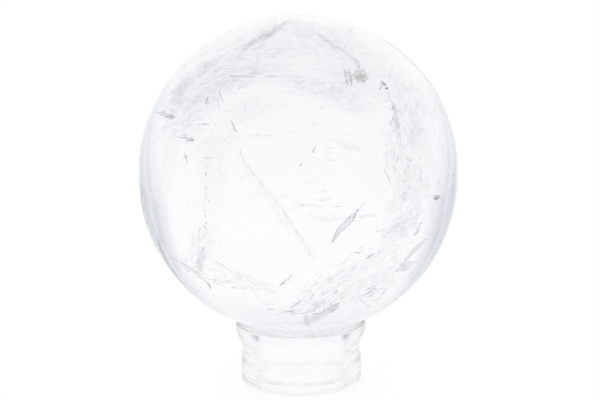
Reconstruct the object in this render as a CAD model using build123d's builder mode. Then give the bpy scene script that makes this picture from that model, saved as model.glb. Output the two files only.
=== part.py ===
"""Rock-crystal ball resting in a clear acrylic ring stand.

Millimetres, +Z up. The origin is the centre of the stand's resting face, on the table. The ball and
both pieces of the stand share the vertical axis through it.
"""
from build123d import *
import math
import os

# Driving dimensions. Each is set once here, and everything else is worked out from them.
BALL_DIAMETER = 100.0  # polished crystal sphere

FOOT_DIAMETER = 38.3  # straight foot of the stand, the same on the base ring and the collar
NECK_DIAMETER = 37.3  # slim part of the collar
LIP_DIAMETER = 41.3  # flared lip under the ball
BORE_DIAMETER = 27.6  # hole right through the stand
SEAT_DIAMETER = 32.8  # mouth of the hollow seat in the lip's top face

BASE_RING_HEIGHT = 3.2  # ring cut from sheet, which the collar stands on
FOOT_BAND_HEIGHT = 3.15  # straight foot of the collar, above the bond
SHOULDER_HEIGHT = 3.0  # soft curve in from the foot to the neck
NECK_HEIGHT = 0.9  # straight neck
FLARE_HEIGHT = 7.5  # ogee from the neck out to the lip
LIP_HEIGHT = 1.8  # straight rim of the lip, with its rounded top edge

# Clearances.
BOND_FILM = 0.05  # thickness of the clear bond between the base ring and the collar
SEAT_CLEARANCE = 0.1  # between the ball and its seat, measured square to the ball's surface

# Edge treatments.
BASE_EDGE_RADIUS = 0.4  # rolled lower edge of the base ring
LIP_EDGE_RADIUS = 0.6  # rounded top edge of the lip
BORE_BEVEL = 0.1  # broken edges where the bore meets the table and the bond

# Sizes that follow.
ball_radius = BALL_DIAMETER / 2
foot_radius = FOOT_DIAMETER / 2
neck_radius = NECK_DIAMETER / 2
lip_radius = LIP_DIAMETER / 2
bore_radius = BORE_DIAMETER / 2
seat_radius = SEAT_DIAMETER / 2
seat_sphere_radius = ball_radius + SEAT_CLEARANCE

collar_bottom = BASE_RING_HEIGHT + BOND_FILM
shoulder_bottom = collar_bottom + FOOT_BAND_HEIGHT
neck_bottom = shoulder_bottom + SHOULDER_HEIGHT
flare_bottom = neck_bottom + NECK_HEIGHT
lip_bottom = flare_bottom + FLARE_HEIGHT
lip_top = lip_bottom + LIP_HEIGHT
ball_centre = lip_top + math.sqrt(seat_sphere_radius**2 - seat_radius**2)


def make_base_ring():
    """Flat clear ring under the collar, its lower edge rolled where it meets the table."""
    with BuildPart() as base_ring:
        with BuildSketch(Plane.XZ):
            with BuildLine():
                Line((bore_radius + BORE_BEVEL, 0), (foot_radius - BASE_EDGE_RADIUS, 0))
                RadiusArc(
                    (foot_radius - BASE_EDGE_RADIUS, 0),
                    (foot_radius, BASE_EDGE_RADIUS),
                    -BASE_EDGE_RADIUS,
                )
                Polyline(
                    (foot_radius, BASE_EDGE_RADIUS),
                    (foot_radius, BASE_RING_HEIGHT),
                    (bore_radius + BORE_BEVEL, BASE_RING_HEIGHT),
                    (bore_radius, BASE_RING_HEIGHT - BORE_BEVEL),
                    (bore_radius, BORE_BEVEL),
                    (bore_radius + BORE_BEVEL, 0),
                )
            make_face()
        revolve(axis=Axis.Z)
    return base_ring.part


def make_collar():
    """Turned collar: foot, soft shoulder, neck, ogee flare and lip, bored and hollowed for the ball."""
    flare_middle = ((neck_radius + lip_radius) / 2, (flare_bottom + lip_bottom) / 2)
    with BuildPart() as collar:
        with BuildSketch(Plane.XZ) as section:
            with BuildLine():
                Polyline(
                    (bore_radius, lip_top),
                    (bore_radius, collar_bottom + BORE_BEVEL),
                    (bore_radius + BORE_BEVEL, collar_bottom),
                    (foot_radius, collar_bottom),
                    (foot_radius, shoulder_bottom),
                )
                Spline(
                    (foot_radius, shoulder_bottom),
                    (neck_radius, neck_bottom),
                    tangents=[(0, 1), (0, 1)],
                )
                Line((neck_radius, neck_bottom), (neck_radius, flare_bottom))
                lower_flare = TangentArc(
                    (neck_radius, flare_bottom), flare_middle, tangent=(0, 1)
                )
                TangentArc(flare_middle, (lip_radius, lip_bottom), tangent=lower_flare % 1)
                Polyline(
                    (lip_radius, lip_bottom),
                    (lip_radius, lip_top),
                    (bore_radius, lip_top),
                )
            make_face()
            rim = section.vertices().sort_by(Axis.X)[-2:].sort_by(Axis.Y)[-1]
            fillet(rim, LIP_EDGE_RADIUS)
        revolve(axis=Axis.Z)
        with Locations((0, 0, ball_centre)):
            Sphere(seat_sphere_radius, mode=Mode.SUBTRACT)
    return collar.part


def make_ball():
    """Solid polished sphere, which lies loose in the seat."""
    with BuildPart() as ball:
        with Locations((0, 0, ball_centre)):
            Sphere(ball_radius)
    return ball.part


def write_piece(piece, name):
    """Label a finished piece and write it as its own STEP file."""
    piece.label = name
    export_step(piece, f"parts/{name}.step")


os.makedirs("parts", exist_ok=True)
write_piece(make_base_ring(), "stand_base_ring")
write_piece(make_collar(), "stand_collar")
write_piece(make_ball(), "crystal_ball")
print(f"lip top {lip_top:.2f}, ball centre {ball_centre:.2f}, height {ball_centre + ball_radius:.2f}")
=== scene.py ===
"""Looks for the rock-crystal ball and its clear ring stand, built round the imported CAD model. Metres."""
import math
import random

import bmesh
import bpy
from mathutils import Matrix, Vector, noise


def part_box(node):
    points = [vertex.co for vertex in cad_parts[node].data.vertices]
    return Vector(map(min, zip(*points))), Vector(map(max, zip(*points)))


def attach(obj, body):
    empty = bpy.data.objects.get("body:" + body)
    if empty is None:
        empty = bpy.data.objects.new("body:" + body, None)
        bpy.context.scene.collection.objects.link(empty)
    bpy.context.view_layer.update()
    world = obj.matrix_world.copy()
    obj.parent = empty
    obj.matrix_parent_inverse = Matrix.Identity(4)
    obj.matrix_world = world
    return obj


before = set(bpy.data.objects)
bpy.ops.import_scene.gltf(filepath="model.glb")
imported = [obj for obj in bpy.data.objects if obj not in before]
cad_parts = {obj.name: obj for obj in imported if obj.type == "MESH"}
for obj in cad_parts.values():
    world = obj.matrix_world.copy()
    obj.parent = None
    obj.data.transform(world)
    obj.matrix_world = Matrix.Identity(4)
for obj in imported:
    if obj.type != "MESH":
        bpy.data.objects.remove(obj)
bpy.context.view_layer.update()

scene = bpy.context.scene

# ---------------------------------------------------------------- sizes taken from the frame
BALL_LOW, BALL_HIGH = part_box("crystal_ball")
BALL_RADIUS = (BALL_HIGH.z - BALL_LOW.z) / 2
BALL_CENTRE = Vector((0, 0, (BALL_HIGH.z + BALL_LOW.z) / 2))

# ---------------------------------------------------------------- refractive indices
QUARTZ_INDEX = 1.544
ACRYLIC_INDEX = 1.49
CRACK_INDEX = 1.3

# ---------------------------------------------------------------- camera
LENS_MM = 120.0
SENSOR_MM = 36.0
NEAREST_SEEN = 0.01
CAMERA_DISTANCE = 12.517 * BALL_RADIUS  # from the ball's centre
CAMERA_ELEVATION = math.radians(14.2)
CAMERA_ROLL = math.radians(-0.93)
AIM_BELOW_CENTRE = 0.162 * BALL_RADIUS  # the ball sits a little above the middle of the picture
AIM_RIGHT_OF_CENTRE = 0.0106 * BALL_RADIUS

TOWARDS_CAMERA = Vector((0, -math.cos(CAMERA_ELEVATION), math.sin(CAMERA_ELEVATION)))
CAMERA_PLACE = BALL_CENTRE + CAMERA_DISTANCE * TOWARDS_CAMERA


def picture_axes():
    """Right and up in the picture, as directions in space, with the camera's roll."""
    right = Vector((1, 0, 0))
    up = TOWARDS_CAMERA.cross(right)
    turn = Matrix.Rotation(CAMERA_ROLL, 3, TOWARDS_CAMERA)
    return turn @ right, turn @ up


PICTURE_RIGHT, PICTURE_UP = picture_axes()


def make_camera():
    """A long lens, aimed a little below and beside the ball's centre."""
    data = bpy.data.cameras.new("camera")
    data.lens = LENS_MM
    data.sensor_width = SENSOR_MM
    data.clip_start = NEAREST_SEEN
    camera = bpy.data.objects.new("camera", data)
    scene.collection.objects.link(camera)
    aim = BALL_CENTRE + AIM_RIGHT_OF_CENTRE * PICTURE_RIGHT - AIM_BELOW_CENTRE * PICTURE_UP
    back = (CAMERA_PLACE - aim).normalized()
    right = PICTURE_UP.cross(back).normalized()
    up = back.cross(right)
    turn = Matrix((right, up, back)).transposed().to_4x4()
    camera.matrix_world = Matrix.Translation(CAMERA_PLACE) @ turn
    scene.camera = camera


# ---------------------------------------------------------------- studio: pale floor and soft light
# The camera sees a plain pale floor and background. All other rays, such as those out of the glass,
# meet a floor and a sky with grey flags and shade, which draw the ball. Light Path tells them apart.
FLOOR_GAP = 0.0001  # hairline of air under the stand, as under any real foot
FLOOR_SIZE = 8.0
FLOOR_GREY = 0.10  # share of the light that the floor scatters back
FLOOR_ROUGHNESS = 0.9
FLOOR_GLOSS = 0.1
FLOOR_GLOW = 0.92  # as the camera sees it: a lit translucent sheet, so shadows on it stay faint
GLASS_GLOW = 0.874  # as the glass sees it: floor and sky then meet inside the ball with hardly an edge
STAND_GLOW = 0.92  # the same, under the stand and close round it
UNDER_STAND = (0.035, 0.055)  # distances between which STAND_GLOW turns into GLASS_GLOW
FLAG_START = (0.06, 0.12)  # the flags' shade on the floor sets in between these distances

# A ray of four or more bounces, as through both walls of the stand, meets a studio that is drawn
# most of the way to one tone and glow, so that the stand stays clear.
EVEN_BOUNCES = (3, 4)
EVEN_SHARE = 0.8
EVEN_TONE = 1.0
EVEN_GLOW = 0.92

# Brightness of the studio round the object, by bearing from straight behind it: pale, with soft grey
# flags to the sides that draw the dark lines inside the rims of the ball.
STUDIO_RAMP = [
    (0, 0.995), (40, 0.995), (48, 0.88), (56, 0.68), (60, 0.76), (64, 0.60), (71, 0.34), (79, 0.46),
    (86, 0.90), (100, 0.93), (110, 0.60), (116, 0.80), (122, 0.66), (134, 0.9), (180, 0.86),
]
ZENITH_SHADE = 0.80
COOLNESS = (1.0, 0.91, 0.76)  # powers that turn a shade of grey into its red, green and blue
SKY_HEIGHTS = (0.40, 0.92)  # where the shade overhead begins and is full, as the sine of elevation

# Faint ring of shade on the floor round the object, which the camera doesn't see directly.
SHADE_PLACE = (-0.012, 0.004)  # its middle, which every distance on the floor is taken from
SHADE_DEPTH = 0.05
SHADE_REACH = (0.055, 0.075, 0.126, 0.146)  # radii where it begins, is full, starts to fade and ends
SHADE_GRAIN = 0.05  # size of its soft mottling
SHADE_RAG = 0.02  # how far the mottling moves its edges in or out
NOISE_SPAN = (0.3, 0.7)  # where most values of a noise texture lie


def new_material(name):
    """A node material, its node tree and its shader."""
    material = bpy.data.materials.new(name)
    material.use_nodes = True
    return material, material.node_tree, material.node_tree.nodes["Principled BSDF"]


def math_node(tree, operation, *values, clamp=False):
    """A Math node fed by sockets or numbers; returns its output."""
    node = tree.nodes.new("ShaderNodeMath")
    node.operation = operation
    node.use_clamp = clamp
    for socket, value in zip(node.inputs, values):
        if isinstance(value, (int, float)):
            socket.default_value = value
        else:
            tree.links.new(value, socket)
    return node.outputs[0]


def map_range(tree, value, low, high, to_low, to_high, smooth=False):
    """A Map Range node from low..high to to_low..to_high; returns its output."""
    node = tree.nodes.new("ShaderNodeMapRange")
    node.interpolation_type = "SMOOTHSTEP" if smooth else "LINEAR"
    tree.links.new(value, node.inputs["Value"])
    node.inputs["From Min"].default_value = low
    node.inputs["From Max"].default_value = high
    node.inputs["To Min"].default_value = to_low
    node.inputs["To Max"].default_value = to_high
    return node.outputs[0]


def noise_node(tree, place, scale=1.0, detail=2.0, roughness=0.5):
    """A Noise Texture node at this place; returns its value."""
    node = tree.nodes.new("ShaderNodeTexNoise")
    tree.links.new(place, node.inputs["Vector"])
    node.inputs["Scale"].default_value = scale
    node.inputs["Detail"].default_value = detail
    node.inputs["Roughness"].default_value = roughness
    return node.outputs["Fac"]


def scaled(tree, vector, factors):
    """The vector, multiplied along each axis; returns the node's output."""
    node = tree.nodes.new("ShaderNodeVectorMath")
    node.operation = "MULTIPLY"
    node.inputs[1].default_value = factors
    tree.links.new(vector, node.inputs[0])
    return node.outputs[0]


def blended(tree, value, span, first, second):
    """The first colour turning into the second as the value crosses the span."""
    ramp = tree.nodes.new("ShaderNodeValToRGB")
    for index, colour in enumerate((first, second)):
        ramp.color_ramp.elements[index].position = span[index]
        ramp.color_ramp.elements[index].color = (*colour, 1)
    tree.links.new(value, ramp.inputs[0])
    return ramp.outputs[0]


def flag_tone(tree, x, y):
    """Studio brightness towards (x, y), the same on the left and on the right."""
    bearing = math_node(tree, "ABSOLUTE", math_node(tree, "ARCTAN2", x, y))
    ramp = tree.nodes.new("ShaderNodeValToRGB")
    ramp.color_ramp.interpolation = "EASE"
    elements = ramp.color_ramp.elements
    while len(elements) > 1:
        elements.remove(elements[-1])
    for index, (degrees, value) in enumerate(STUDIO_RAMP):
        element = elements[0] if index == 0 else elements.new(degrees / 180)
        element.position = degrees / 180
        element.color = (value, value, value, 1)
    tree.links.new(map_range(tree, bearing, 0, math.pi, 0, 1), ramp.inputs[0])
    return ramp.outputs[0]


def cool(tree, tone):
    """Grey of this brightness, bluer the darker it is, like the flags' cloth."""
    colour = tree.nodes.new("ShaderNodeCombineXYZ")
    for socket, power in zip(colour.inputs, COOLNESS):
        tree.links.new(math_node(tree, "POWER", tone, power), socket)
    return colour.outputs[0]


def evened(tree, value, even):
    """The value, drawn towards even for rays of many bounces."""
    bounces = tree.nodes.new("ShaderNodeLightPath").outputs["Ray Depth"]
    share = map_range(tree, bounces, *EVEN_BOUNCES, 0, EVEN_SHARE)
    change = math_node(tree, "MULTIPLY", share, math_node(tree, "SUBTRACT", even, value))
    return math_node(tree, "ADD", value, change)


def floor_reach(tree, place, x, y):
    """Distance of (x, y) from the middle of the shade, made ragged by a soft mottling."""
    squares = math_node(tree, "ADD", math_node(tree, "MULTIPLY", x, x), math_node(tree, "MULTIPLY", y, y))
    mottle = noise_node(tree, place, 1 / SHADE_GRAIN, detail=1.0)
    rag = map_range(tree, mottle, *NOISE_SPAN, -SHADE_RAG, SHADE_RAG)
    return math_node(tree, "ADD", math_node(tree, "SQRT", squares), rag)


def floor_for_glass(tree, split, reach):
    """Brightness and glow of the floor as the glass sees it, shaded and flagged."""
    begins, full, fades, ends = SHADE_REACH
    shade = math_node(tree, "MULTIPLY", map_range(tree, reach, begins, full, 0, SHADE_DEPTH, True),
                      map_range(tree, reach, fades, ends, 1, 0, True))
    flags = math_node(tree, "SUBTRACT", flag_tone(tree, split.outputs["X"], split.outputs["Y"]), 1.0)
    flags = math_node(tree, "MULTIPLY", flags, map_range(tree, reach, *FLAG_START, 0, 1, True))
    tone = math_node(tree, "MULTIPLY", math_node(tree, "ADD", flags, 1.0),
                     math_node(tree, "SUBTRACT", 1.0, shade))
    glow = map_range(tree, reach, *UNDER_STAND, STAND_GLOW, GLASS_GLOW, True)
    return evened(tree, tone, EVEN_TONE), evened(tree, glow, EVEN_GLOW)


def floor_tone(tree):
    """Brightness and glow of the floor: even to the camera, and as floor_for_glass says to the rest."""
    place = tree.nodes.new("ShaderNodeTexCoord").outputs["Object"]
    split = tree.nodes.new("ShaderNodeSeparateXYZ")
    tree.links.new(place, split.inputs[0])
    x = math_node(tree, "SUBTRACT", split.outputs["X"], SHADE_PLACE[0])
    y = math_node(tree, "SUBTRACT", split.outputs["Y"], SHADE_PLACE[1])
    tone, glow = floor_for_glass(tree, split, floor_reach(tree, place, x, y))
    seen = tree.nodes.new("ShaderNodeLightPath").outputs["Is Camera Ray"]
    unseen = math_node(tree, "SUBTRACT", 1.0, seen)
    glow = math_node(tree, "ADD", math_node(tree, "MULTIPLY", unseen, glow),
                     math_node(tree, "MULTIPLY", seen, FLOOR_GLOW))
    return math_node(tree, "MAXIMUM", tone, seen), glow


def make_floor():
    """One large pale square under the object."""
    half = FLOOR_SIZE / 2
    mesh = bpy.data.meshes.new("floor")
    corners = [(-half, -half), (half, -half), (half, half), (-half, half)]
    mesh.from_pydata([(x, y, -FLOOR_GAP) for x, y in corners], [], [(0, 1, 2, 3)])
    floor = bpy.data.objects.new("floor", mesh)
    scene.collection.objects.link(floor)
    material, tree, shader = new_material("pale_floor")
    shader.inputs["Base Color"].default_value = (FLOOR_GREY, FLOOR_GREY, FLOOR_GREY, 1)
    tone, glow = floor_tone(tree)
    tree.links.new(cool(tree, tone), shader.inputs["Emission Color"])
    tree.links.new(glow, shader.inputs["Emission Strength"])
    shader.inputs["Roughness"].default_value = FLOOR_ROUGHNESS
    shader.inputs["Specular IOR Level"].default_value = FLOOR_GLOSS
    mesh.materials.append(material)


def make_studio():
    """A pale sky all round, in which all rays but the camera's meet flags and a shade overhead."""
    world = bpy.data.worlds.new("studio")
    world.use_nodes = True
    scene.world = world
    tree = world.node_tree
    split = tree.nodes.new("ShaderNodeSeparateXYZ")
    tree.links.new(tree.nodes.new("ShaderNodeTexCoord").outputs["Generated"], split.inputs[0])
    overhead = map_range(tree, split.outputs["Z"], *SKY_HEIGHTS, 1.0, ZENITH_SHADE)
    tone = math_node(tree, "MULTIPLY", flag_tone(tree, split.outputs["X"], split.outputs["Y"]), overhead)
    tone = evened(tree, tone, EVEN_TONE)
    seen = tree.nodes.new("ShaderNodeLightPath").outputs["Is Camera Ray"]
    background = tree.nodes["Background"]
    background.inputs["Strength"].default_value = 1.0
    tree.links.new(cool(tree, math_node(tree, "MAXIMUM", tone, seen)), background.inputs["Color"])


# ---------------------------------------------------------------- materials of the CAD nodes
CRYSTAL_TINTS = ((0.973, 0.979, 0.994), (0.989, 0.993, 1.0))
CLOUD_GRAIN = 0.016
CLOUD_SPAN = (0.35, 0.65)  # noise over which the one tint turns into the other
CLOUD_DETAIL = 4.0
ACRYLIC_TINT = (0.989, 0.989, 1.0)
ACRYLIC_ROUGHNESS = 0.13
RING_PITCH = 0.0004  # of the lathe's rings on the stand
RING_DEPTH = 0.00001
RING_STRENGTH = 0.25


def make_clear(shader, index, roughness):
    """Turn the shader into clear glass of this refractive index."""
    shader.inputs["Roughness"].default_value = roughness
    shader.inputs["IOR"].default_value = index
    shader.inputs["Transmission Weight"].default_value = 1.0


def make_crystal():
    """Polished rock crystal: clear, with a faint cloudiness that comes and goes."""
    material, tree, shader = new_material("rock_crystal_polished")
    make_clear(shader, QUARTZ_INDEX, 0.0)
    place = tree.nodes.new("ShaderNodeTexCoord").outputs["Object"]
    clouds = noise_node(tree, place, 1 / CLOUD_GRAIN, CLOUD_DETAIL)
    tree.links.new(blended(tree, clouds, CLOUD_SPAN, *CRYSTAL_TINTS), shader.inputs["Base Color"])
    return material


def make_acrylic():
    """Clear acrylic as it comes off the lathe: a soft gloss and fine rings round the axis."""
    material, tree, shader = new_material("clear_acrylic_turned")
    make_clear(shader, ACRYLIC_INDEX, ACRYLIC_ROUGHNESS)
    shader.inputs["Base Color"].default_value = (*ACRYLIC_TINT, 1)
    place = tree.nodes.new("ShaderNodeTexCoord").outputs["Object"]
    bump = tree.nodes.new("ShaderNodeBump")
    bump.inputs["Strength"].default_value = RING_STRENGTH
    bump.inputs["Distance"].default_value = RING_DEPTH
    rings = noise_node(tree, scaled(tree, place, (0.0, 0.0, 1 / RING_PITCH)))
    tree.links.new(rings, bump.inputs["Height"])
    tree.links.new(bump.outputs[0], shader.inputs["Normal"])
    return material


def dress(node, material):
    """Give a CAD node its finish."""
    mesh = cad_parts[node].data
    mesh.materials.clear()
    mesh.materials.append(material)


# ---------------------------------------------------------------- flaws inside the crystal
# A flaw is described as it is seen from the camera, in ball radii from the ball's centre: across to
# the right and up. Its depth is a share of the way that the bent sight line takes through the ball.
SEEN_LIMIT = 0.985  # the farthest from the ball's centre that a flaw can be seen at
DEPTH_LIMITS = (0.02, 0.98)
SCATTER_LIMIT = 0.97  # scattered plates that would be seen beyond this are left out

CRACK_THICKNESS = 0.00016  # of a plate at its middle, in metres
RIM_THINNING = 0.25  # share of it that is left towards the rim
EDGE_POWER = 2.5  # the higher, the nearer to the rim a plate's body turns from core to edge
FLAT = 1e-12  # a plate with less area than this has no direction

# A plate's shape comes from noise, read at a place of its own within NOISE_REACH.
NOISE_REACH = 50
OUTLINE_SCALE = 1.7
FRAY_SCALE = 5.5
FRAY_SHARE = 0.9  # of rag, for the finer noise on the outline
WAVE_SCALE = 1.3
WAVE_SWAY = 0.2  # sideways, as a share of half the width
WAVE_DEPTH = 0.3  # towards the camera and away, as a share of half of deep

# Small plates vary about the size and body asked for, between these shares of it.
TRAIL_LENGTHS, TRAIL_WIDTHS, TRAIL_BODIES = (0.4, 1.5), (0.5, 1.5), (0.4, 1.3)
CLOUD_LENGTHS, CLOUD_WIDTHS, CLOUD_BODIES = (0.3, 1.6), (0.5, 1.6), (0.3, 1.3)
TRAIL_DEPTH_SPREAD = 0.02
CLOUD_BOW = 0.05
SMALL = dict(segments=12, rings=2)


def sight_line(across, up):
    """Where the sight line enters the ball, its bent direction inside, and how far it runs there."""
    spread = 1 / math.sqrt((CAMERA_DISTANCE / BALL_RADIUS) ** 2 - 1)
    ray = (across * PICTURE_RIGHT + up * PICTURE_UP) * spread - TOWARDS_CAMERA
    ray.normalize()
    to_centre = BALL_CENTRE - CAMERA_PLACE
    along = to_centre.dot(ray)
    half = math.sqrt(max(BALL_RADIUS**2 - to_centre.length_squared + along**2, 0))
    entry = CAMERA_PLACE + (along - half) * ray
    normal = (entry - BALL_CENTRE) / BALL_RADIUS
    facing = -normal.dot(ray)
    bend = 1 / QUARTZ_INDEX
    inner = bend * ray + (bend * facing - math.sqrt(1 - bend**2 * (1 - facing**2))) * normal
    return entry, inner, -2 * BALL_RADIUS * normal.dot(inner)


def seen_at(across, up, depth):
    """The point inside the ball that the camera sees at (across, up)."""
    reach = math.hypot(across, up)
    if reach > SEEN_LIMIT:
        across, up = across * SEEN_LIMIT / reach, up * SEEN_LIMIT / reach
    entry, inner, run = sight_line(across, up)
    shallowest, deepest = DEPTH_LIMITS
    return entry + min(max(depth, shallowest), deepest) * run * inner


def square_to(middle, outline):
    """The direction square to a fan of triangles from middle to outline, or None if it has no area."""
    normal = Vector()
    for this, following in zip(outline, outline[1:] + outline[:1]):
        normal += (this - middle).cross(following - middle)
    return None if normal.length < FLAT else normal.normalized()


class Flaws:
    """One mesh piece that gathers plates: thin closed lenses, each a crack or a sheet of bubbles."""

    def __init__(self, name, seed):
        self.name = name
        self.draw = random.Random(seed)
        self.mesh = bmesh.new()
        self.body = self.mesh.verts.layers.float.new("crack_body")
        self.grain = self.mesh.verts.layers.float_vector.new("crack_grain")

    def plate(self, across, up, length, width, lean, depth=0.5, deep=0.035, slope=0.0, body=1.0,
              core=0.9, edge=0.9, rag=0.3, taper=1.4, bow=0.0, segments=22, rings=4):
        """A plate seen length by width, leaning in degrees, that reaches deep into the ball.

        Its body is core in the middle and edge at the rim. Taper points its ends, rag frays its
        outline and bow bends it, as a share of its length.
        """
        turn = math.radians(lean)
        along = (math.cos(turn), math.sin(turn))
        beside = (-along[1], along[0])
        offset = Vector([self.draw.uniform(-NOISE_REACH, NOISE_REACH) for _ in range(3)])

        def plate_place(angle, share):
            s, t = math.cos(angle), math.sin(angle)
            edge_noise = noise.noise(offset + OUTLINE_SCALE * Vector((s, t, 0)))
            fine_noise = noise.noise(offset + FRAY_SCALE * Vector((s, t, 1)))
            reach = share * (1 + rag * edge_noise + FRAY_SHARE * rag * fine_noise)
            t = math.copysign(abs(t) ** taper, t) * reach
            s *= reach
            return s, t

        def point(angle, share):
            s, t = plate_place(angle, share)
            wave = noise.noise(offset + WAVE_SCALE * Vector((s, t, 2)))
            out = (t + WAVE_SWAY * wave) * width + bow * length * (1 - s * s)
            a = across + 0.5 * (s * length * along[0] + out * beside[0])
            u = up + 0.5 * (s * length * along[1] + out * beside[1])
            return seen_at(a, u, depth + 0.5 * deep * (t + WAVE_DEPTH * wave) + 0.5 * slope * s)

        def vertex(place, angle, share):
            s, t = plate_place(angle, share)
            new = self.mesh.verts.new(place)
            new[self.body] = body * (core + (edge - core) * share**EDGE_POWER)
            new[self.grain] = offset + Vector((s * length, t * width, 0))
            return new

        middle = point(0.0, 0.0)
        angles = [2 * math.pi * i / segments for i in range(segments)]
        outline = [point(angle, 1.0) for angle in angles]
        normal = square_to(middle, outline)
        if normal is None:
            return
        rim = [vertex(place, angle, 1.0) for place, angle in zip(outline, angles)]
        for side in (1, -1):
            lift = side * 0.5 * CRACK_THICKNESS * normal
            tip = vertex(middle + lift, 0.0, 0.0)
            grid = []
            for ring in range(1, rings):
                share = ring / rings
                raised = lift * (1 - (1 - RIM_THINNING) * share**2)
                grid.append([vertex(point(angle, share) + raised, angle, share) for angle in angles])
            self.skin(tip, grid + [rim], side)

    def skin(self, tip, grid, side):
        """Faces of one side of a plate, from its middle out to its rim."""
        count = len(grid[0])
        for i in range(count):
            j = (i + 1) % count
            self.face((tip, grid[0][i], grid[0][j]), side)
            for inner, outer in zip(grid, grid[1:]):
                self.face((inner[i], outer[i], outer[j], inner[j]), side)

    def face(self, corners, side):
        """One smooth face, turned outwards on either side."""
        self.mesh.faces.new(corners if side > 0 else tuple(reversed(corners))).smooth = True

    def trail(self, route, length, width, spacing, jitter, scatter=14, body=0.6, **kind):
        """Small plates strung along a route of (across, up, depth) points."""
        draw = self.draw
        for start, end in zip(route, route[1:]):
            run = math.hypot(end[0] - start[0], end[1] - start[1])
            heading = math.degrees(math.atan2(end[1] - start[1], end[0] - start[0]))
            count = max(1, round(run / spacing))
            for i in range(count):
                share = (i + draw.random()) / count
                a, u, d = (start[k] + share * (end[k] - start[k]) for k in range(3))
                self.plate(
                    a + draw.gauss(0, jitter), u + draw.gauss(0, jitter),
                    length * draw.uniform(*TRAIL_LENGTHS), width * draw.uniform(*TRAIL_WIDTHS),
                    heading + draw.gauss(0, scatter), depth=d + draw.gauss(0, TRAIL_DEPTH_SPREAD),
                    body=body * draw.uniform(*TRAIL_BODIES), **SMALL, **kind,
                )

    def cloud(self, across, up, size, count, lean, length=0.05, width=0.007, depth=0.5, spread=0.10,
              heading=0.0, scatter=9, body=0.5, **kind):
        """Small plates scattered in a patch that is size[0] by size[1], turned by heading."""
        draw = self.draw
        turn = math.radians(heading)
        for _ in range(count):
            s, t = draw.gauss(0, size[0] / 3), draw.gauss(0, size[1] / 3)
            a = across + s * math.cos(turn) - t * math.sin(turn)
            u = up + s * math.sin(turn) + t * math.cos(turn)
            if math.hypot(a, u) > SCATTER_LIMIT:
                continue
            self.plate(
                a, u, length * draw.uniform(*CLOUD_LENGTHS), width * draw.uniform(*CLOUD_WIDTHS),
                lean + draw.gauss(0, scatter), depth=depth + draw.gauss(0, spread),
                body=body * draw.uniform(*CLOUD_BODIES), bow=draw.gauss(0, CLOUD_BOW), **SMALL, **kind,
            )

    def finish(self, material):
        """Turn the plates into one object that rides on the ball."""
        data = bpy.data.meshes.new(self.name)
        bmesh.ops.recalc_face_normals(self.mesh, faces=self.mesh.faces)
        self.mesh.to_mesh(data)
        self.mesh.free()
        data.materials.append(material)
        piece = bpy.data.objects.new(self.name, data)
        scene.collection.objects.link(piece)
        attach(piece, "ball")


CRACK_ROUGHNESS = 0.5
MOTTLE = dict(detail=5.0, roughness=0.6)
MOTTLE_SPAN = (0.35, 0.7)  # noise over which pale turns into dark
OPEN_TO_FULL = (0.1, 1.0)  # how full a sheet is where it is open, and where it is full


def flaw_material(name, dark, pale, cover, grain, gaps):
    """A sheet of cracks and bubbles, mottled along its grain: grain is in ball radii, long by short.

    Gaps is the span of noise over which the sheet goes from open to full, and cover is how much of
    the light it stops where it is full.
    """
    material, tree, shader = new_material(name)
    lay = tree.nodes.new("ShaderNodeAttribute")
    lay.attribute_name = "crack_grain"
    place = scaled(tree, lay.outputs["Vector"], (1 / grain[0], 1 / grain[1], 1.0))
    mottle = noise_node(tree, place, **MOTTLE)
    tree.links.new(blended(tree, mottle, MOTTLE_SPAN, pale, dark), shader.inputs["Base Color"])
    body = tree.nodes.new("ShaderNodeAttribute")
    body.attribute_name = "crack_body"
    full = map_range(tree, mottle, *gaps, *OPEN_TO_FULL, True)
    thick = math_node(tree, "MULTIPLY", body.outputs["Fac"], full)
    tree.links.new(math_node(tree, "MULTIPLY", thick, cover, clamp=True), shader.inputs["Alpha"])
    shader.inputs["Roughness"].default_value = CRACK_ROUGHNESS
    shader.inputs["IOR"].default_value = CRACK_INDEX
    return material


OPEN_CRACK = flaw_material(
    "open_crack", dark=(0.40, 0.425, 0.47), pale=(0.68, 0.71, 0.76), cover=0.45,
    grain=(0.06, 0.012), gaps=(0.30, 0.60))
STAINED_CRACK = flaw_material(
    "stained_crack", dark=(0.42, 0.40, 0.36), pale=(0.68, 0.66, 0.60), cover=0.40,
    grain=(0.05, 0.02), gaps=(0.30, 0.55))
HEALED_VEIL = flaw_material(
    "healed_veil", dark=(0.66, 0.70, 0.77), pale=(0.82, 0.86, 0.93), cover=0.185,
    grain=(0.10, 0.04), gaps=(0.35, 0.70))

LENS = dict(core=0.5, edge=1.2, taper=0.85, rag=0.35)  # an open crack, darkest round its outline
SOFT = dict(core=1.0, edge=0.0, segments=36, rings=8, taper=1.0, rag=0.45)  # fades out all round


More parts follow.
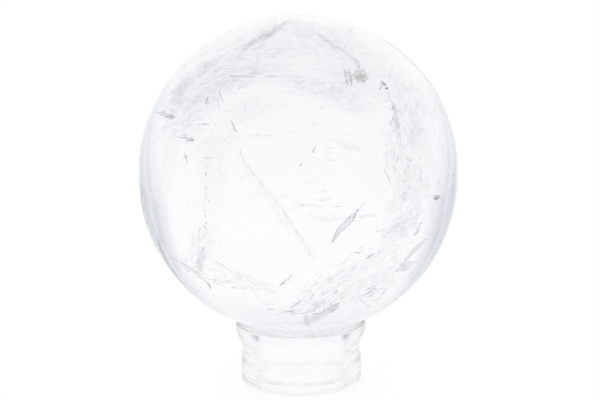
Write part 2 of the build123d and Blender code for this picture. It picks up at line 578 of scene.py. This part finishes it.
def make_lens_cracks():
    """The few open cracks that show as dark outlined slivers, low on the right."""
    flaws = Flaws("lens_cracks", 11)
    flaws.plate(0.29, -0.32, 0.23, 0.040, 49, depth=0.42, deep=0.10, body=0.75, rings=5, **LENS)
    flaws.plate(0.375, -0.225, 0.12, 0.012, 54, depth=0.43, deep=0.06, body=0.5, **LENS)
    flaws.plate(0.725, -0.475, 0.22, 0.026, 46, depth=0.5, deep=0.08, body=0.55, taper=1.2)
    flaws.plate(0.665, -0.575, 0.13, 0.045, 24, depth=0.5, deep=0.06, body=0.5, rag=0.5)
    flaws.plate(0.45, -0.51, 0.065, 0.014, 35, depth=0.5, deep=0.08, body=0.9, taper=1.6)
    flaws.plate(0.37, -0.49, 0.045, 0.012, 0, depth=0.5, body=0.7)
    flaws.plate(0.755, -0.335, 0.10, 0.010, 62, depth=0.5, deep=0.08, body=0.9, bow=0.08)
    flaws.plate(0.735, -0.37, 0.06, 0.008, 40, depth=0.5, deep=0.06, body=0.8)
    flaws.plate(0.43, -0.26, 0.13, 0.03, 4, depth=0.45, deep=0.05, body=0.30, rag=0.5)
    flaws.finish(OPEN_CRACK)


def make_foot_cracks():
    """The grey sheet low in the middle and the strokes that fan up to the right of it."""
    flaws = Flaws("foot_cracks", 12)
    flaws.plate(0.16, -0.865, 0.20, 0.055, 25, depth=0.5, deep=0.10, body=0.5, rag=0.7, taper=1.1)
    flaws.plate(0.22, -0.83, 0.09, 0.05, 35, depth=0.45, deep=0.06, body=0.45, rag=0.7)
    flaws.plate(-0.01, -0.81, 0.10, 0.014, 34, depth=0.5, deep=0.06, body=0.7)
    flaws.plate(0.23, -0.74, 0.05, 0.010, 39, depth=0.5, body=0.8)
    flaws.plate(-0.075, -0.66, 0.12, 0.012, 41, depth=0.4, deep=0.08, body=0.6, bow=-0.05)
    flaws.plate(-0.10, -0.685, 0.045, 0.012, 30, depth=0.4, deep=0.05, body=0.9)
    flaws.cloud(0.15, -0.69, (0.44, 0.12), 50, 38, heading=34, length=0.06, width=0.005, body=0.36)
    flaws.cloud(0.16, -0.81, (0.34, 0.08), 30, 34, heading=24, length=0.07, width=0.006, body=0.38)
    flaws.cloud(0.46, -0.74, (0.15, 0.09), 18, 36, length=0.05, width=0.007, body=0.5)
    flaws.cloud(0.02, -0.87, (0.30, 0.04), 18, 8, heading=-8, length=0.06, width=0.006, body=0.5)
    flaws.plate(0.42, -0.81, 0.09, 0.009, -37, depth=0.5, deep=0.05, body=0.6)
    flaws.cloud(0.62, -0.47, (0.26, 0.16), 14, 45, heading=45, length=0.04, width=0.006, body=0.3)
    flaws.cloud(0.55, -0.37, (0.20, 0.08), 20, 12, length=0.035, width=0.006, body=0.35)
    flaws.finish(OPEN_CRACK)


def make_seam():
    """The long faint seam that falls through the middle of the ball."""
    flaws = Flaws("long_seam", 13)
    route = [(-0.36, 0.12, 0.30), (-0.33, 0.06, 0.31), (-0.26, -0.02, 0.32), (-0.18, -0.11, 0.34),
             (-0.09, -0.235, 0.36), (-0.01, -0.36, 0.38), (0.05, -0.45, 0.40), (0.09, -0.53, 0.42)]
    for start, end in zip(route, route[1:]):
        run = math.hypot(end[0] - start[0], end[1] - start[1])
        heading = math.degrees(math.atan2(end[1] - start[1], end[0] - start[0]))
        flaws.plate((start[0] + end[0]) / 2, (start[1] + end[1]) / 2, run * 1.3, 0.014, heading,
                    depth=(start[2] + end[2]) / 2, deep=0.06, slope=end[2] - start[2], body=0.15)
    flaws.trail(route, 0.04, 0.005, spacing=0.03, jitter=0.006, body=0.2)
    flaws.finish(OPEN_CRACK)


def make_left_cracks():
    """Cracks low on the left: a grey upright band, and lines that fall to the right."""
    flaws = Flaws("left_cracks", 14)
    flaws.plate(-0.61, -0.54, 0.17, 0.045, 83, depth=0.5, deep=0.10, body=0.4, rag=0.5)
    flaws.plate(-0.66, -0.39, 0.11, 0.007, 88, depth=0.5, deep=0.05, body=0.4)
    flaws.plate(-0.62, -0.39, 0.12, 0.007, 92, depth=0.5, deep=0.05, body=0.4)
    flaws.trail([(-0.80, -0.50, 0.5), (-0.57, -0.675, 0.5)], 0.09, 0.008, spacing=0.03, jitter=0.006,
                scatter=8, body=0.6)
    flaws.plate(-0.555, -0.695, 0.05, 0.012, -62, depth=0.5, deep=0.06, body=0.9)
    flaws.trail([(-0.56, -0.66, 0.5), (-0.28, -0.73, 0.5)], 0.07, 0.006, spacing=0.025, jitter=0.010,
                scatter=8, body=0.5)
    flaws.trail([(-0.52, -0.55, 0.45), (-0.17, -0.74, 0.45)], 0.08, 0.005, spacing=0.04, jitter=0.006,
                scatter=6, body=0.35)
    flaws.cloud(-0.60, -0.62, (0.26, 0.12), 26, -30, heading=-30, length=0.05, width=0.006, body=0.28)
    flaws.finish(OPEN_CRACK)


def make_right_chain():
    """Flakes strung down the right side from a dark double speck."""
    flaws = Flaws("right_chain", 15)
    flaws.plate(0.53, 0.565, 0.05, 0.020, -48, depth=0.4, body=1.3, rag=0.6)
    flaws.plate(0.55, 0.535, 0.03, 0.014, -10, depth=0.42, body=1.5, rag=0.6)
    flaws.plate(0.515, 0.545, 0.05, 0.010, 75, depth=0.42, body=0.8)
    upper = [(0.56, 0.48, 0.42), (0.605, 0.39, 0.44), (0.61, 0.29, 0.45)]
    lower = [(0.61, 0.29, 0.45), (0.60, 0.19, 0.45), (0.645, 0.07, 0.48), (0.69, -0.10, 0.5)]
    flaws.trail(upper, 0.06, 0.009, spacing=0.009, jitter=0.016, scatter=24, body=0.38, rag=0.6)
    flaws.trail(lower, 0.05, 0.007, spacing=0.013, jitter=0.026, scatter=24, body=0.28, rag=0.6)
    flaws.plate(0.615, 0.33, 0.13, 0.03, -82, depth=0.45, deep=0.08, body=0.35, rag=0.7)
    flaws.plate(0.56, -0.02, 0.12, 0.011, -66, depth=0.45, deep=0.08, body=0.6)
    flaws.plate(0.60, 0.03, 0.07, 0.009, -60, depth=0.45, deep=0.08, body=0.5)
    flaws.plate(0.66, -0.14, 0.05, 0.04, 70, depth=0.5, body=0.4, rag=0.5)
    flaws.plate(0.862, -0.145, 0.05, 0.028, 12, depth=0.5, body=1.1, rag=0.7)
    flaws.plate(0.968, -0.012, 0.03, 0.010, 80, depth=0.5, body=1.0)
    flaws.cloud(0.70, -0.10, (0.30, 0.5), 40, 60, length=0.05, width=0.006, scatter=30, body=0.22)
    flaws.finish(OPEN_CRACK)


def make_loose_specks():
    """Single flakes scattered through the clear middle."""
    flaws = Flaws("loose_specks", 16)
    flaws.plate(0.015, 0.06, 0.030, 0.010, 48, depth=0.4, body=1.0)
    flaws.plate(0.10, 0.155, 0.050, 0.010, 66, depth=0.4, body=0.8)
    flaws.plate(0.09, 0.14, 0.030, 0.008, 60, depth=0.4, body=0.7)
    flaws.plate(-0.36, 0.14, 0.06, 0.009, -80, depth=0.4, body=0.5)
    flaws.plate(-0.40, 0.295, 0.08, 0.014, -67, depth=0.45, body=0.9, rag=0.6)
    flaws.plate(-0.415, 0.32, 0.05, 0.010, -60, depth=0.45, body=0.6)
    flaws.plate(-0.70, 0.10, 0.06, 0.012, -75, depth=0.5, body=0.9, rag=0.6)
    flaws.trail([(-0.58, 0.08, 0.5), (-0.575, -0.20, 0.5), (-0.585, -0.36, 0.5)], 0.022, 0.006,
                spacing=0.028, jitter=0.006, body=0.8)
    flaws.plate(-0.56, 0.10, 0.06, 0.010, 4, depth=0.5, body=0.5)
    flaws.cloud(0.05, -0.18, (0.22, 0.10), 14, -5, length=0.05, width=0.006, body=0.4)
    flaws.cloud(0.25, 0.15, (0.40, 0.22), 16, -15, length=0.07, width=0.007, body=0.25)
    flaws.cloud(-0.10, 0.0, (1.6, 1.5), 70, 20, length=0.04, width=0.005, spread=0.2, scatter=50, body=0.25)
    flaws.finish(OPEN_CRACK)


def make_left_flakes():
    """Flakes and strokes of the upper left."""
    flaws = Flaws("left_flakes", 17)
    flaws.plate(-0.83, 0.37, 0.11, 0.030, -18, depth=0.5, deep=0.10, body=0.7, rag=0.8)
    flaws.plate(-0.79, 0.355, 0.06, 0.020, -10, depth=0.5, deep=0.06, body=0.9, rag=0.8)
    flaws.plate(-0.60, 0.31, 0.07, 0.012, 3, depth=0.5, body=0.7, rag=0.6)
    flaws.plate(-0.695, 0.225, 0.095, 0.016, -8, depth=0.45, body=0.8, rag=0.8)
    flaws.plate(-0.67, 0.21, 0.05, 0.010, 0, depth=0.45, body=0.8, rag=0.8)
    flaws.plate(-0.71, 0.245, 0.05, 0.008, 10, depth=0.45, body=0.8)
    flaws.plate(-0.57, 0.46, 0.05, 0.013, 62, depth=0.5, body=0.8, rag=0.6)
    flaws.plate(-0.48, 0.48, 0.10, 0.010, -68, depth=0.5, body=0.6)
    flaws.plate(-0.50, 0.44, 0.07, 0.010, -80, depth=0.5, body=0.5)
    flaws.plate(-0.36, 0.61, 0.18, 0.012, -4, depth=0.5, body=0.6, rag=0.6)
    flaws.plate(-0.17, 0.61, 0.09, 0.010, 0, depth=0.5, body=0.5, rag=0.6)
    flaws.cloud(-0.62, 0.45, (0.5, 0.26), 60, 35, heading=25, length=0.06, width=0.006, scatter=30,
                body=0.26)
    flaws.cloud(-0.38, 0.58, (0.5, 0.14), 36, 3, length=0.06, width=0.006, body=0.26)
    flaws.finish(OPEN_CRACK)


def make_crown_streaks():
    """Broad soft streaks near the top."""
    flaws = Flaws("crown_streaks", 18)
    flaws.plate(-0.20, 0.87, 0.34, 0.055, 31, depth=0.5, deep=0.10, body=0.7, **SOFT)
    flaws.plate(-0.31, 0.80, 0.14, 0.035, 36, depth=0.5, deep=0.08, body=0.6, **SOFT)
    flaws.plate(-0.58, 0.67, 0.22, 0.08, 38, depth=0.5, deep=0.10, body=0.5, **SOFT)
    flaws.plate(-0.72, 0.55, 0.24, 0.09, 50, depth=0.5, deep=0.10, body=0.4, **SOFT)
    flaws.plate(0.23, 0.80, 0.36, 0.035, -34, depth=0.5, deep=0.08, body=0.4, **SOFT)
    flaws.plate(0.37, 0.68, 0.10, 0.03, -72, depth=0.5, deep=0.06, body=0.6, **SOFT)
    flaws.plate(0.30, 0.60, 0.14, 0.03, 96, depth=0.45, deep=0.06, body=0.8, **SOFT)
    flaws.cloud(-0.28, 0.82, (0.5, 0.08), 40, 33, heading=33, length=0.07, width=0.006, body=0.26)
    flaws.cloud(0.22, 0.81, (0.4, 0.06), 20, -34, heading=-34, length=0.06, width=0.006, body=0.22)
    flaws.finish(OPEN_CRACK)


def make_stained_flake():
    """The one warm-stained flake, high on the right."""
    flaws = Flaws("stained_flake", 19)
    flaws.plate(0.385, 0.61, 0.12, 0.075, 18, depth=0.4, deep=0.06, body=0.55, rag=0.8, taper=1.1)
    flaws.plate(0.40, 0.60, 0.07, 0.04, -20, depth=0.42, deep=0.05, body=0.55, rag=0.8, taper=1.1)
    flaws.plate(0.325, 0.60, 0.11, 0.012, 100, depth=0.42, deep=0.06, body=0.9)
    flaws.plate(0.86, -0.155, 0.03, 0.020, 15, depth=0.48, body=1.0)
    flaws.finish(STAINED_CRACK)


def make_veil(name, seed, plates, wisps):
    """A healed sheet: a few broad soft plates and the wisps of bubbles that lie in it.

    A plate is across, up, length, width, lean and body; a wisp across, up, size, count, lean and body.
    """
    flaws = Flaws(name, seed)
    for across, up, length, width, lean, body in plates:
        flaws.plate(across, up, length, width, lean, depth=0.55, deep=0.25, body=body, **SOFT)
    for across, up, size, count, lean, body in wisps:
        flaws.cloud(across, up, size, count, lean, length=0.09, width=0.014, spread=0.18,
                    heading=lean, body=body)
    flaws.finish(HEALED_VEIL)


def make_veils():
    """The haze under the crown, down both sides, along the foot and through the middle."""
    make_veil("crown_veil", 31, plates=[
        (0.25, 0.52, 0.70, 0.26, -12, 0.8), (0.20, 0.80, 0.7, 0.3, -20, 0.6),
        (-0.30, 0.70, 0.7, 0.3, 25, 0.6),
    ], wisps=[(0.2, 0.6, (0.9, 0.4), 40, -8, 0.5), (-0.3, 0.7, (0.7, 0.3), 30, 20, 0.5)])
    make_veil("right_veil", 32, plates=[
        (0.66, 0.20, 0.9, 0.30, 96, 0.8), (0.70, -0.20, 0.5, 0.3, 60, 0.6),
        (0.66, -0.30, 0.3, 0.16, 50, 0.8),
    ], wisps=[(0.68, 0.1, (0.9, 0.3), 50, 80, 0.5), (0.6, -0.35, (0.4, 0.25), 10, 45, 0.5)])
    make_veil("left_veil", 33, plates=[
        (-0.68, 0.45, 0.5, 0.4, 40, 0.8), (-0.55, 0.15, 0.5, 0.3, -80, 0.4),
        (-0.62, -0.50, 0.4, 0.2, 80, 0.7),
    ], wisps=[(-0.65, 0.45, (0.6, 0.35), 40, 35, 0.5), (-0.6, -0.4, (0.6, 0.3), 12, -75, 0.35)])
    make_veil("foot_veil", 34, plates=[
        (0.25, -0.70, 0.8, 0.20, 32, 0.6), (0.45, -0.70, 0.5, 0.2, 30, 0.5),
        (-0.35, -0.66, 0.7, 0.12, -18, 0.5),
    ], wisps=[(0.25, -0.68, (0.7, 0.2), 22, 34, 0.4), (-0.3, -0.65, (0.8, 0.16), 20, -20, 0.4)])
    make_veil("middle_veil", 35, plates=[
        (-0.24, 0.24, 0.20, 0.03, 0, 0.9), (0.31, 0.18, 0.32, 0.05, -14, 0.8),
        (0.02, -0.19, 0.2, 0.03, -2, 0.8), (-0.14, -0.2, 0.9, 0.10, -52, 0.4),
        (0.25, -0.28, 0.4, 0.06, -4, 0.6), (-0.3, 0.4, 0.5, 0.2, 10, 0.4),
    ], wisps=[(0.0, 0.0, (1.7, 1.5), 50, 0, 0.28)])


# ---------------------------------------------------------------- light through glass
TRANSPARENT_BOUNCES = 32  # each side of a plate that light crosses uses one
GLASS_BOUNCES = 20  # light trapped in the stand by total reflection uses up glossy ones


def allow_bounces():
    """Enough bounces for light to find its way through the ball, its flaws and the stand."""
    scene.cycles.transparent_max_bounces = TRANSPARENT_BOUNCES
    scene.cycles.max_bounces = GLASS_BOUNCES
    scene.cycles.transmission_bounces = GLASS_BOUNCES
    scene.cycles.glossy_bounces = GLASS_BOUNCES


make_camera()
make_floor()
make_studio()
dress("crystal_ball", make_crystal())
acrylic = make_acrylic()
dress("stand_collar", acrylic)
dress("stand_base_ring", acrylic)
make_lens_cracks()
make_foot_cracks()
make_seam()
make_left_cracks()
make_right_chain()
make_loose_specks()
make_left_flakes()
make_crown_streaks()
make_stained_flake()
make_veils()
allow_bounces()
scene.view_settings.view_transform = "Standard"
